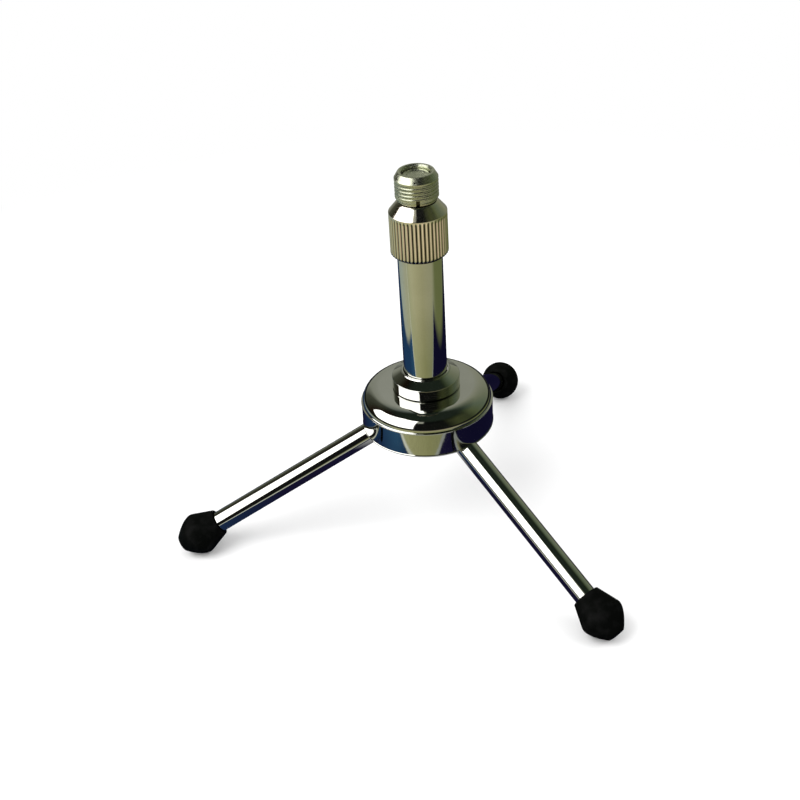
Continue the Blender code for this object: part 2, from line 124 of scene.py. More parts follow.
def lathe(name, outline, segments=POST_SEGMENTS, along_x=False, shape=None):
    """Turn a closed outline about Z, or about X; shape(r, h, angle) may move a point off the circle."""
    on_axis = 1e-7
    bm = bmesh.new()
    rings = []
    for r, h in outline:
        if r < on_axis:
            rings.append([bm.verts.new((h, 0, 0) if along_x else (0, 0, h))])
            continue
        ring = []
        for i in range(segments):
            angle = 2 * math.pi * i / segments
            radius, height = shape(r, h, angle) if shape else (r, h)
            u, v = radius * math.cos(angle), radius * math.sin(angle)
            ring.append(bm.verts.new((height, u, v) if along_x else (u, v, height)))
        rings.append(ring)
    for a, b in zip(rings, rings[1:] + rings[:1]):
        if len(a) == 1 and len(b) == 1:
            continue
        for i in range(segments):
            j = (i + 1) % segments
            corners = (a[i % len(a)], a[j % len(a)], b[j % len(b)], b[i % len(b)])
            bm.faces.new(list(dict.fromkeys(corners)))
    bmesh.ops.recalc_face_normals(bm, faces=bm.faces)
    return mesh_object(name, bm)


def smooth(obj, angle=32.0):
    """Shade smooth, keep real edges sharp, and let large faces set the shading."""
    obj.data.shade_smooth()
    obj.data.set_sharp_from_angle(angle=math.radians(angle))
    modifier = obj.modifiers.new("weighted_normal", "WEIGHTED_NORMAL")
    modifier.weight = 80
    modifier.keep_sharp = True
    return obj


def arc(radius, start, end, steps):
    """Points of an arc about the origin, between two angles in degrees."""
    angles = [math.radians(start + (end - start) * i / steps) for i in range(steps + 1)]
    return [(radius * math.cos(a), radius * math.sin(a)) for a in angles]


def prism(bm, outline, half_width, matrix):
    """Extrude an outline of (x, z) points to both sides of the XZ plane, then place it."""
    rings = [[bm.verts.new(matrix @ Vector((x, side, z))) for x, z in outline]
             for side in (-half_width, half_width)]
    bm.faces.new(rings[0])
    bm.faces.new(rings[1])
    for i in range(len(outline)):
        j = (i + 1) % len(outline)
        bm.faces.new((rings[0][i], rings[0][j], rings[1][j], rings[1][i]))


def combine(obj, bm, operation="DIFFERENCE"):
    """Cut the mesh in bm out of obj, or join it on, and keep the result as obj's own mesh."""
    bmesh.ops.recalc_face_normals(bm, faces=bm.faces)
    tool = mesh_object(obj.name + "_tool", bm)
    modifier = obj.modifiers.new("combine", "BOOLEAN")
    modifier.operation = operation
    modifier.solver = "EXACT"
    modifier.object = tool
    bpy.context.view_layer.update()
    evaluated = obj.evaluated_get(bpy.context.evaluated_depsgraph_get())
    mesh = bpy.data.meshes.new_from_object(evaluated)
    obj.modifiers.clear()
    obj.data = mesh
    bpy.data.objects.remove(tool)


def dress(obj, body, material, node):
    """Give a piece its finish, let it ride on its body and stand for its CAD node."""
    obj.data.materials.clear()
    obj.data.materials.append(material)
    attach(obj, body)
    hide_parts(node)


def place(obj, body, material, node):
    """Raise a hub or post piece to its height, then dress it."""
    obj.data.transform(Matrix.Translation((0, 0, BASE_Z)))
    dress(obj, body, material, node)


def node_extent(node):
    """A turned CAD node's outer radius, and its bottom and top above the hub's bottom edge."""
    low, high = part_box(node)
    return high.x, low.z - BASE_Z, high.z - BASE_Z


# ---------------------------------------------------------------- node trees

class Graph:
    """Short names for building a node tree."""

    def __init__(self, tree):
        self.tree = tree

    def add(self, kind, **values):
        node = self.tree.nodes.new(kind)
        for key, value in values.items():
            if key in node.inputs:
                node.inputs[key].default_value = value
            else:
                setattr(node, key, value)
        return node

    def link(self, source, target):
        self.tree.links.new(source, target)

    def feed(self, socket, value):
        """Set a socket to a plain value, or link an output to it."""
        if isinstance(value, (int, float, tuple)):
            socket.default_value = value
        else:
            self.link(value, socket)

    def math(self, operation, a, b=0.0):
        node = self.add("ShaderNodeMath", operation=operation)
        self.feed(node.inputs[0], a)
        self.feed(node.inputs[1], b)
        return node.outputs["Value"]

    def product(self, first, *others):
        result = first
        for value in others:
            result = self.math("MULTIPLY", result, value)
        return result

    def mix(self, factor, a, b, blend="MIX"):
        node = self.add("ShaderNodeMix", data_type="RGBA", blend_type=blend)
        self.feed(node.inputs[0], factor)
        self.feed(node.inputs[6], a)
        self.feed(node.inputs[7], b)
        return node.outputs[2]

    def ramp(self, value, low, high, start=0.0, end=1.0, kind="LINEAR"):
        """Map low..high to start..end, and hold the ends."""
        node = self.add("ShaderNodeMapRange", interpolation_type=kind)
        for name, setting in (("From Min", low), ("From Max", high), ("To Min", start), ("To Max", end)):
            node.inputs[name].default_value = setting
        self.link(value, node.inputs["Value"])
        return node.outputs["Result"]

    def band(self, value, low, high, soft):
        """1 between low and high, falling to 0 over soft on both sides."""
        rise = self.ramp(value, low - soft, low + soft, kind="SMOOTHSTEP")
        fall = self.ramp(value, high + soft, high - soft, kind="SMOOTHSTEP")
        return self.product(rise, fall)

    def color_ramp(self, value, low, high, stops):
        """Colour over value from low to high; stops are (value, colour)."""
        node = self.add("ShaderNodeValToRGB")
        elements = node.color_ramp.elements
        while len(elements) > 1:
            elements.remove(elements[-1])
        for index, (stop, color) in enumerate(stops):
            spot = (stop - low) / (high - low)
            element = elements[0] if index == 0 else elements.new(spot)
            element.position = spot
            element.color = (*color, 1.0)
        self.link(self.ramp(value, low, high), node.inputs["Fac"])
        return node.outputs["Color"]

    def axes(self, vector):
        split = self.add("ShaderNodeSeparateXYZ")
        self.link(vector, split.inputs["Vector"])
        return [split.outputs[name] for name in "XYZ"]

    def either(self, factor, first, second):
        """Mix shader: first where factor is 0, second where it is 1."""
        node = self.add("ShaderNodeMixShader")
        for socket, source in zip(node.inputs, (factor, first, second)):
            self.link(source, socket)
        return node.outputs[0]

    def position(self):
        return self.add("ShaderNodeTexCoord").outputs["Object"]

    def stretched(self, scale):
        node = self.add("ShaderNodeMapping", Scale=scale)
        self.link(self.position(), node.inputs["Vector"])
        return node.outputs["Vector"]

    def noise(self, scale, detail, vector=None):
        node = self.add("ShaderNodeTexNoise", Scale=scale, Detail=detail, Roughness=0.55)
        self.link(vector or self.position(), node.inputs["Vector"])
        return node.outputs["Fac"]

    def bump(self, height, strength, distance, under=None):
        node = self.add("ShaderNodeBump", Strength=strength, Distance=distance)
        self.link(height, node.inputs["Height"])
        if under:
            self.link(under, node.inputs["Normal"])
        return node.outputs["Normal"]


class Finish(Graph):
    """A new material with its principled shader."""

    def __init__(self, name, **values):
        self.material = bpy.data.materials.new(name)
        self.material.use_nodes = True
        super().__init__(self.material.node_tree)
        self.shader = self.tree.nodes["Principled BSDF"]
        for key, value in values.items():
            self.shader.inputs[key.replace("_", " ")].default_value = value

    def drive(self, key, source):
        self.link(source, self.shader.inputs[key])


# ---------------------------------------------------------------- materials

# Noise scales, in features per metre.
WAVE_SCALE = 38.0
SMUDGE_SCALE = 55.0
STAIN_SCALE = 120.0
WORN_SCALE = 160.0
DUST_SCALE = 260.0
MOTTLE_SCALE = 420.0
SCRATCH_SCALE = 900.0
CAST_SCALE = 1400.0
SPECK_SCALE = 1500.0
MOULD_SCALE = 1800.0
MACHINED_SCALE = 2200.0
PIT_SCALE = 2600.0

# Dark colour laid into grooves: painted shade, with some dirt.
GROOVE_SHADE_AND_DIRT = (0.05, 0.045, 0.025, 1)
EVEN = (1.0, 1.0, 1.0)


def opaque(color):
    return (*color, 1.0)


def ring_zone(graph, near, far, low, high):
    """1 inside the radius near, 0 outside far, and only between the heights low and high."""
    x, y, z = graph.axes(graph.position())
    square = graph.math("ADD", graph.product(x, x), graph.product(y, y))
    inside = graph.ramp(graph.math("SQRT", square), near, far, 1.0, 0.0)
    between = graph.product(graph.math("GREATER_THAN", z, low), graph.math("LESS_THAN", z, high))
    return graph.product(inside, between)


def plated_metal(name, color, dark, roughness, scratch=EVEN, texture=0.02, shade_and_dirt=None):
    """Polished plating: a slow waviness, fine scratches, smudges, a few pits, and painted shade with
    some dirt that darkens the grooves inside the given ring zone."""
    graph = Finish(name, Metallic=1.0)
    smudge = graph.ramp(graph.noise(SMUDGE_SCALE, 5.0), 0.35, 0.75)
    tint = graph.mix(smudge, opaque(color), opaque(dark))
    specks = graph.ramp(graph.noise(SPECK_SCALE, 5.0), 0.5, 0.75, 0.0, 0.35)
    tint = graph.mix(specks, tint, opaque(dark))
    # Painted shade, with some dirt, darkens the grooves inside the ring zone.
    if shade_and_dirt:
        tint = graph.mix(ring_zone(graph, *shade_and_dirt), tint, GROOVE_SHADE_AND_DIRT)
    graph.drive("Base Color", tint)
    lines = graph.noise(SCRATCH_SCALE, 3.0, graph.stretched(scratch))
    worn = graph.ramp(graph.noise(WORN_SCALE, 6.0), 0.55, 0.8, 0.0, 0.05)
    scratched = graph.ramp(lines, 0.3, 0.8, roughness * 0.6, roughness * 1.5)
    graph.drive("Roughness", graph.math("ADD", worn, scratched))
    wave = graph.bump(graph.noise(WAVE_SCALE, 2.0), 0.2, 0.1 * MM)
    grain = graph.bump(lines, texture, 0.1 * MM, wave)
    pits = graph.ramp(graph.noise(PIT_SCALE, 2.0), 0.68, 0.75)
    graph.drive("Normal", graph.bump(pits, texture, 0.08 * MM, grain))
    return graph.material


def dull_metal(name, color, dark, roughness, grain, strength):
    """Cast or machined metal without polish: grain, stains and uneven sheen."""
    graph = Finish(name, Metallic=1.0)
    stain = graph.ramp(graph.noise(STAIN_SCALE, 6.0), 0.3, 0.7)
    graph.drive("Base Color", graph.mix(stain, opaque(color), opaque(dark)))
    fine = graph.noise(grain, 4.0)
    graph.drive("Roughness", graph.ramp(fine, 0.3, 0.7, roughness * 0.75, roughness * 1.25))
    graph.drive("Normal", graph.bump(fine, strength, 0.2 * MM))
    return graph.material


def moulded(name, color, light, roughness, shine):
    """Moulded rubber or plastic: fine grain, dust and rubbed patches."""
    graph = Finish(name, Specular_IOR_Level=shine)
    dust = graph.ramp(graph.noise(DUST_SCALE, 7.0), 0.45, 0.8)
    graph.drive("Base Color", graph.mix(dust, opaque(color), opaque(light)))
    fine = graph.noise(MOULD_SCALE, 5.0)
    graph.drive("Roughness", graph.ramp(fine, 0.3, 0.7, roughness * 0.85, roughness * 1.15))
    graph.drive("Normal", graph.bump(fine, 0.15, 0.15 * MM))
    return graph.material


# Ring zones of painted shade and dirt in the grooves: full inside the first radius, gone at the second,
# then lowest and highest z.
KNURL_SHADE_AND_DIRT = (9.82 * MM, 10.17 * MM, BASE_Z + 71.5 * MM, BASE_Z + 86.9 * MM)
SLOT_SHADE_AND_DIRT = (6.6 * MM, 7.1 * MM, BASE_Z + 91.0 * MM, BASE_Z + 94.4 * MM)

CHROME = plated_metal("chrome_plate", (0.80, 0.80, 0.78), (0.72, 0.72, 0.69), 0.045)
ROD_CHROME = plated_metal("rod_chrome", (0.80, 0.80, 0.78), (0.72, 0.72, 0.69), 0.05,
                          scratch=(0.15, 1.0, 1.0))
KNURL = plated_metal("knurled_chrome", (1.0, 0.94, 0.84), (0.88, 0.82, 0.72), 0.1, shade_and_dirt=KNURL_SHADE_AND_DIRT)
NICKEL = plated_metal("nickel_thread", (0.74, 0.76, 0.62), (0.60, 0.62, 0.48), 0.31,
                      scratch=(1.0, 1.0, 3.0), texture=0.012, shade_and_dirt=SLOT_SHADE_AND_DIRT)
ZINC = dull_metal("cast_zinc", (0.42, 0.43, 0.44), (0.30, 0.31, 0.32), 0.5, CAST_SCALE, 0.2)
STEEL = dull_metal("zinc_plated_steel", (0.78, 0.77, 0.72), (0.62, 0.61, 0.56), 0.26,
                   MACHINED_SCALE, 0.08)
NYLON = moulded("nylon", (0.78, 0.76, 0.70), (0.66, 0.64, 0.58), 0.45, 0.3)
RUBBER = moulded("black_rubber", (0.0015, 0.0018, 0.0015), (0.006, 0.006, 0.006), 0.6, 0.03)


# ---------------------------------------------------------------- where the legs are

def fold_joint(leg):
    """A leg's pivot and hinge direction."""
    joint = next(j for j in frame["joints"] if j["name"] == f"leg_{leg}_fold")
    return Vector(joint["pos_m"]), Vector(joint["axis"])


def measure_rod():
    """The rods' slope below level and their length from the pivot, from the rear rod's CAD mesh."""
    pivot, _ = fold_joint("rear")
    points = [vertex.co - pivot for vertex in frame["nodes"]["leg_rod_rear"].data.vertices]
    reach = max(point.length for point in points)
    end_face = [point for point in points if point.length > reach - 1.0 * MM]
    centre = sum(end_face, Vector()) / len(end_face)
    slope = math.atan2(-centre.z, centre.y)
    along = Vector((0, math.cos(slope), -math.sin(slope)))
    return slope, max(point.dot(along) for point in points)


ROD_SLOPE, ROD_END = measure_rod()
ROD_RADIUS = 4.0 * MM
FOOT_CENTRE = ROD_END - 1.7 * MM        # where the foot is widest
FOOT_RADIUS = 8.2 * MM


def leg_matrix(leg):
    """Places a leg's own frame, pivot at the origin and rod along +X, in the row frame."""
    pivot, hinge = fold_joint(leg)
    out = hinge.cross(UP)
    direction = (out * math.cos(ROD_SLOPE) - UP * math.sin(ROD_SLOPE)).normalized()
    matrix = Matrix((direction, hinge, direction.cross(hinge))).transposed().to_4x4()
    return Matrix.Translation(pivot) @ matrix


# ---------------------------------------------------------------- hub and collar

def notch_cutter():
    """Three rounded notches through the hub's wall, one round each rod."""
    half_width = 4.35 * MM
    below = -14.0 * MM
    centre, half_length = 14.5 * MM, 9.5 * MM
    outline = arc(half_width, 0, 180, 32) + [(-half_width, below), (half_width, below)]
    across = Matrix.Translation((centre, 0, 0)) @ Matrix.Rotation(math.radians(90), 4, "Z")
    bm = bmesh.new()
    for leg in LEGS:
        prism(bm, outline, half_length, leg_matrix(leg) @ across)
    return bm


def shoulder_points(flat, foot, radius):
    """The domed shoulder, from the lip's radius and height up to the flat top."""
    steps = 36
    points = []
    for i in range(steps + 1):
        t = math.radians(88) * (1 - i / steps)
        r = flat + (radius - flat) * math.sin(t)
        points.append((r, foot + (HUB_HEIGHT - foot) * math.cos(t), 0))
    return points


def build_hub():
    inner = HUB_RADIUS - 2.2 * MM
    wall_radius = HUB_RADIUS - 0.15 * MM
    shoulder_radius = HUB_RADIUS - 0.6 * MM
    flat_radius = 17.4 * MM
    bevel = 1.6 * MM
    lip = 10.8 * MM
    lip_top = lip + 0.35 * MM
    shoulder_foot = 11.4 * MM
    bore = 3.3 * MM
    ceiling = HUB_HEIGHT - 2.4 * MM
    ceiling_radius = 15.0 * MM
    outline = rounded([
        # bottom edge with its bevel and bead
        (inner, 0, 0.3 * MM),
        (HUB_RADIUS - bevel, 0, 0.5 * MM),
        (HUB_RADIUS, bevel - 0.2 * MM, 0.5 * MM),
        (HUB_RADIUS, bevel + 0.1 * MM, 0.15 * MM),
        # wall, and the lip above it
        (wall_radius, bevel + 0.3 * MM, 0.15 * MM),
        (wall_radius, lip - 0.1 * MM, 0.1 * MM),
        (HUB_RADIUS, lip + 0.1 * MM, 0.1 * MM),
        (HUB_RADIUS, lip_top, 0.22 * MM),
        (shoulder_radius, lip_top, 0.12 * MM),
        *shoulder_points(flat_radius, shoulder_foot, shoulder_radius),
        # bolt hole, and back down the inside
        (bore, HUB_HEIGHT, 0.2 * MM),
        (bore, ceiling, 0.2 * MM),
        (ceiling_radius, ceiling, 1.5 * MM),
        (inner - 1.5 * MM, 11.0 * MM, 2.0 * MM),
        (inner, 9.5 * MM, 1.5 * MM),
    ])
    hub = lathe("hub_bell_shell", outline, HUB_SEGMENTS)
    combine(hub, notch_cutter())
    place(smooth(hub), "base", CHROME, "hub_bell")


def build_collar():
    radius, bottom, top = node_extent("post_collar")
    edge, cone_height = 21.5 * MM, 2.2 * MM
    foot_chamfer = 0.3 * MM
    lip = 8.9 * MM
    bore, socket, seat = 3.3 * MM, 8.25 * MM, 19.3 * MM
    collar = lathe("post_collar_ring", rounded([
        (bore, bottom, 0),
        (radius - foot_chamfer, bottom, 0.2 * MM),
        (radius, bottom + foot_chamfer, 0.2 * MM),
        (radius, edge, 0.35 * MM),
        (lip + 0.15 * MM, edge + cone_height, 0.6 * MM),
        (lip, top, 0.3 * MM),
        (socket, top, 0.15 * MM),
        (socket, seat, 0),
        (bore, seat, 0),
    ]))
    place(smooth(collar), "base", CHROME, "post_collar")


# ---------------------------------------------------------------- post, clutch nut and column

def build_tube():
    radius, bottom, top = node_extent("post_tube")
    bore = 6.5 * MM
    tube = lathe("post_tube_chrome", rounded([
        (bore, bottom, 0.2 * MM),
        (radius, bottom, 0.2 * MM),
        (radius, top, 0.5 * MM),
        (bore, top, 0.2 * MM),
    ]))
    place(smooth(tube), "base", CHROME, "post_tube")


def build_nut():
    """Knurled sleeve: straight ribs with grooves between them, a smooth rim and a polished cone."""
    radius, bottom, top = node_extent("clutch_nut")
    ribs, depth = 44, 0.5 * MM
    crest = 1.05                # above 1, so that each rib has a narrow flat crest
    rib_foot = bottom + 1.1 * MM
    edge = 87.6 * MM
    rib_top = edge - 0.55 * MM
    fade = 0.5 * MM
    hole, thread, cone_top = 6.3 * MM, 8.3 * MM, 7.3 * MM
    taper_radius, taper_bottom, taper_top = 7.4 * MM, 85.6 * MM, 89.2 * MM
    rows = 24
    flank = [(radius, rib_foot + (rib_top - rib_foot) * i / rows, 0) for i in range(rows + 1)]
    outline = rounded([
        (thread, bottom, 0.2 * MM),
        (8.9 * MM, bottom, 0.2 * MM),
        *flank,
        (radius, edge, 0.45 * MM),
        (cone_top, top - 0.4 * MM, 0.3 * MM),
        (cone_top - 0.4 * MM, top, 0.2 * MM),
        (hole, top, 0.15 * MM),
        (hole, taper_top, 0),
        (taper_radius, taper_top, 0),
        (thread, taper_bottom, 0),
    ])

    def rib(r, h, angle):
        if r < radius - 0.01 * MM or h > rib_top:
            return r, h
        groove = 1.0 - min(1.0, crest * abs(math.sin(angle * ribs / 2)))
        return r - depth * groove * min(1.0, (rib_top - h) / fade), h

    nut = lathe("clutch_nut_knurled", outline, ribs * SEGMENTS_PER_RIB, shape=rib)
    place(smooth(nut, 50), "clutch_nut", KNURL, "clutch_nut")


def build_inner_tube():
    radius, bottom, top = node_extent("inner_tube")
    bore = 5.0 * MM
    tube = lathe("inner_tube_chrome", rounded([
        (bore, bottom, 0.2 * MM),
        (radius, bottom, 0.3 * MM),
        (radius, top, 0.3 * MM),
        (bore, top, 0.2 * MM),
    ]), SMALL_SEGMENTS)
    place(smooth(tube), "mic_column", ROD_CHROME, "inner_tube")


def thread_shape(radius, pitch, depth, start, end):
    """A rolled thread: a rounded helical groove that fades out at both ends."""
    run_out = 0.8 * pitch

    def shape(r, h, angle):
        if r < radius - 0.05 * MM or not start < h < end:
            return r, h
        fade = min(1.0, (h - start) / run_out, (end - h) / run_out)
        turn = (h - start) / pitch - angle / (2 * math.pi)
        groove = 0.5 - 0.5 * math.cos(2 * math.pi * turn)
        return r - depth * fade * groove ** 0.8, h

    return shape


def build_adapter():
    radius, bottom, top = node_extent("thread_adapter")
    bore, foot_radius, top_radius = 5.06 * MM, 6.9 * MM, 6.3 * MM
    lower, upper = bottom + 1.4 * MM, top - 2.2 * MM
    pitch, depth, rows = 1.3 * MM, 0.14 * MM, 100
    wall = [(radius, lower + (upper - lower) * i / rows, 0) for i in range(rows + 1)]
    outline = rounded([
        (bore, bottom, 0.1 * MM),
        (foot_radius, bottom, 0.3 * MM),
        *wall,
        (top_radius, top, 0.35 * MM),
        (bore + 0.5 * MM, top, 0.2 * MM),
        (bore, top - 0.5 * MM, 0.1 * MM),
    ])
    thread = thread_shape(radius, pitch, depth, lower, upper)
    adapter = lathe("thread_adapter_sleeve", outline, ADAPTER_SEGMENTS, shape=thread)

    slot_floor, slot_height, slot_half_width = 5.7 * MM, 2.4 * MM, 0.65 * MM
    slot_turn = Matrix.Rotation(math.radians(-67), 4, "Z")
    outside = 1.0 * MM
    box = [(slot_floor, bottom - outside), (radius + outside, bottom - outside),
           (radius + outside, bottom + slot_height), (slot_floor, bottom + slot_height)]
    slot = bmesh.new()
    prism(slot, box, slot_half_width, slot_turn)
    combine(adapter, slot)
    place(smooth(adapter, 50), "mic_column", NICKEL, "thread_adapter")


def build_stud():
    _, bottom, top = node_extent("top_stud")
    plug_radius, flange_radius, thread_radius = 4.7 * MM, 6.0 * MM, 4.76 * MM
    flange_low, flange_high = 90.4 * MM, 91.6 * MM
    hollow = 0.25 * MM
    stud = lathe("top_stud_end", rounded([
        (0, bottom, 0),
        (plug_radius, bottom, 0.3 * MM),
        (plug_radius, flange_low, 0),
        (flange_radius, flange_low, 0.1 * MM),
        (flange_radius, flange_high, 0.1 * MM),
        (thread_radius, flange_high, 0),
        (thread_radius, top, 0.45 * MM),
        (3.4 * MM, top, 0.2 * MM),
        (3.1 * MM, top - hollow, 0.2 * MM),
        (0, top - hollow, 0),
    ]), SMALL_SEGMENTS)
    place(smooth(stud), "mic_column", NICKEL, "top_stud")


# ---------------------------------------------------------------- legs

def build_rod(leg):
    """Round rod with a flat rounded tang, drilled for the pivot pin."""
    start = 6.5 * MM
    tang_radius, tang_half_width, tang_end = 3.2 * MM, 2.0 * MM, start + 1.5 * MM
    hole_radius, hole_half_length = 1.6 * MM, 5.0 * MM
    rod = lathe(f"leg_rod_{leg}_chrome", rounded([
        (0, start, 0),
        (ROD_RADIUS, start, 0.9 * MM),
        (ROD_RADIUS, ROD_END, 0.6 * MM),
        (0, ROD_END, 0),
    ]), SMALL_SEGMENTS, along_x=True)
    tang = bmesh.new()
    outline = arc(tang_radius, 90, 270, 24) + [(tang_end, -tang_radius), (tang_end, tang_radius)]
    prism(tang, outline, tang_half_width, Matrix())
    combine(rod, tang, "UNION")
    hole = bmesh.new()
    prism(hole, arc(hole_radius, 0, 360, 48)[:-1], hole_half_length, Matrix())
    combine(rod, hole)
    rod.data.transform(leg_matrix(leg))
    dress(smooth(rod), f"leg_{leg}", ROD_CHROME, f"leg_rod_{leg}")


def build_foot(leg):
    """Rubber cap: a cone that widens from the rod, then a rounded end."""
    mouth, nose = FOOT_CENTRE - 9.0 * MM, 8.0 * MM
    widest = FOOT_RADIUS - 0.08 * MM    # the CAD foot has flat sides
    bore, mouth_radius, end_radius = 4.3 * MM, 5.1 * MM, 3.2 * MM
    steps = 12
    taper = []
    for i in range(1, steps):
        t = i / steps
        taper.append((end_radius + (widest - end_radius) * (1 - t ** 1.6), FOOT_CENTRE + nose * t, 0))
    foot = lathe(f"foot_cap_{leg}_rubber", rounded([
        (bore, mouth, 0.1 * MM),
        (mouth_radius, mouth, 0.4 * MM),
        (widest - 0.1 * MM, FOOT_CENTRE - 0.9 * MM, 1.2 * MM),
        (widest, FOOT_CENTRE, 0),
        *taper,
        (end_radius, FOOT_CENTRE + nose, 0.7 * MM),
        (0, FOOT_CENTRE + nose, 0),
        (0, ROD_END + 0.3 * MM, 0),
        (bore, ROD_END + 0.3 * MM, 0),
    ]), SMALL_SEGMENTS, along_x=True)
    foot.data.transform(leg_matrix(leg))
    dress(smooth(foot, 40), f"leg_{leg}", RUBBER, f"foot_cap_{leg}")


def finish_cad_nodes():
    """CAD nodes that stay on show get their material."""
    finishes = {
        "leg_carrier": (ZINC, "cast_zinc"),
        "centre_bolt": (STEEL, "zinc_plated_steel"),
        "lock_washer": (STEEL, "zinc_plated_steel"),
        "post_plug": (STEEL, "zinc_plated_steel"),
        "clutch_collet": (NYLON, "nylon"),
        "inner_bush": (NYLON, "nylon"),
    }
    for leg in LEGS:
        finishes[f"pivot_pin_{leg}"] = (STEEL, "zinc_plated_steel")
    for node, (material, slot) in finishes.items():
        obj = frame["nodes"][node]
        obj.data.materials.clear()
        obj.data.materials.append(material)


# ---------------------------------------------------------------- camera and lights

FLOOR_Z = cad_box[0].z
CAMERA_AZIMUTH = math.radians(22.6)     # the camera stands to the right of -Y
CAMERA_ELEVATION = math.radians(33.2)
CAMERA_DISTANCE = 0.500
CAMERA_ROLL = math.radians(3.6)
CAMERA_ASIDE = -10.1 * MM               # the aim point, to the camera's right of the post
CAMERA_AIM_HEIGHT = 10.6 * MM           # the aim point, above the hub's bottom edge
SENSOR_WIDTH = 36.0                     # in real millimetres, as Blender wants both of these
FOCAL_LENGTH = 60.2775


def look_vector(azimuth, elevation):
    """Unit vector from the object, with both angles in radians: azimuth 0 is towards the camera,
    positive to the camera's right."""
    a = CAMERA_AZIMUTH + azimuth
    level = math.cos(elevation)
    return Vector((math.sin(a) * level, -math.cos(a) * level, math.sin(elevation)))


def build_camera():
    right = look_vector(math.radians(90), 0.0)
    back = look_vector(0.0, CAMERA_ELEVATION)
    aim = right * CAMERA_ASIDE + UP * (BASE_Z + CAMERA_AIM_HEIGHT)
    data = bpy.data.cameras.new("camera")
    camera = bpy.data.objects.new("camera", data)
    bpy.context.scene.collection.objects.link(camera)
    data.sensor_width = SENSOR_WIDTH
    data.lens = FOCAL_LENGTH
    data.clip_start = 0.01
    data.clip_end = 50.0
    turn = back.to_track_quat("Z", "Y").to_matrix().to_4x4()
    roll = Matrix.Rotation(-CAMERA_ROLL, 4, "Z")
    camera.matrix_world = Matrix.Translation(aim + back * CAMERA_DISTANCE) @ turn @ roll
    bpy.context.scene.camera = camera


def add_light(name, azimuth, elevation, distance, size, power):
    """Soft disk light, with its angles in degrees; the metal mirrors the world instead of it."""
    data = bpy.data.lights.new(name, "AREA")
    data.shape = "DISK"
    data.size = size
    data.energy = power
    light = bpy.data.objects.new(name, data)
    bpy.context.scene.collection.objects.link(light)
    direction = look_vector(math.radians(azimuth), math.radians(elevation))
    light.location = direction * distance + UP * FLOOR_Z
    light.rotation_euler = direction.to_track_quat("Z", "Y").to_euler()
    light.visible_camera = False
    light.visible_glossy = False


# ---------------------------------------------------------------- world

# The camera sees a white backdrop and a pale floor.  Mirrored rays see the room set out here, whose
# azimuths, in degrees, are counted like look_vector's.
SKY_AROUND = (                  # azimuth, colour of the room at that side
    (-180, (0.30, 0.31, 0.26)),
    (-156, (0.24, 0.25, 0.20)),
    (-143, (0.06, 0.065, 0.045)),
    (-125, (0.03, 0.032, 0.02)),
    (-114, (0.016, 0.010, 0.005)),
    (-25, (0.006, 0.006, 0.006)),
    (30, (0.006, 0.007, 0.005)),
    (52, (0.048, 0.057, 0.021)),
    (74, (0.038, 0.047, 0.020)),
    (89, (0.083, 0.103, 0.044)),
    (112, (0.11, 0.14, 0.09)),
    (132, (0.17, 0.19, 0.12)),
    (160, (0.26, 0.27, 0.20)),
    (180, (0.30, 0.31, 0.26)),
)
SKY_UP = (                      # elevation, share of that colour
    (-10, (1.0, 1.0, 1.0)),
    (42, (0.95, 0.95, 0.95)),
    (57, (0.40, 0.45, 0.48)),
    (68, (0.12, 0.14, 0.15)),
    (90, (0.05, 0.06, 0.06)),
)
BOX_AROUND, BOX_UP = (-110, -27), (1, 61)
STRIP_AROUND, STRIP_UP = (-27, -12), (47, 60)
BELOW_AROUND, BELOW_TOP = (-140, 120), -1
ZENITH_FROM = 60
LEAN_AROUND_FROM, LEAN_UP_FROM, LEAN = 50, 30.0, 0.5
ZENITH_COLOR = (0.012, 0.018, 0.012, 1)
BOX_COLOR = (2.4, 2.4, 2.3, 1)
STRIP_COLOR = (0.32, 0.33, 0.27, 1)
BELOW_COLOR = (0.008, 0.009, 0.008, 1)
SOFT_COLOR = (0.85, 0.85, 0.85, 1)      # what matt surfaces are lit by
WHITE = (1.0, 1.0, 1.0, 1)
DEGREES = 180 / math.pi
UNBOUNDED = 400.0                       # beyond any angle, for a band that is open at one end


def camera_side_axes(graph, vector):
    """Components of a vector towards the camera's side, to its right, and up."""
    x, y, z = graph.axes(vector)
    parts = []
    for axis in (look_vector(0.0, 0.0), look_vector(math.radians(90), 0.0)):
        parts.append(graph.math("ADD", graph.product(x, axis.x), graph.product(y, axis.y)))
    return parts[0], parts[1], z


def azimuth_of(graph, u, v):
    return graph.product(graph.math("ARCTAN2", v, u), DEGREES)


def soft_box(graph, azimuth, elevation):
    """A big box light on the left, with its upper far corner and its lower far corner cut off."""
    box = graph.product(graph.band(azimuth, *BOX_AROUND, 1.6), graph.band(elevation, *BOX_UP, 2.0))
    upper = graph.math("ADD", graph.product(azimuth, -0.55), elevation)
    lower = graph.math("SUBTRACT", graph.product(azimuth, -0.9), elevation)
    return graph.product(box, graph.band(upper, -UNBOUNDED, 100, 2.0),
                         graph.band(lower, -UNBOUNDED, 84, 2.0))


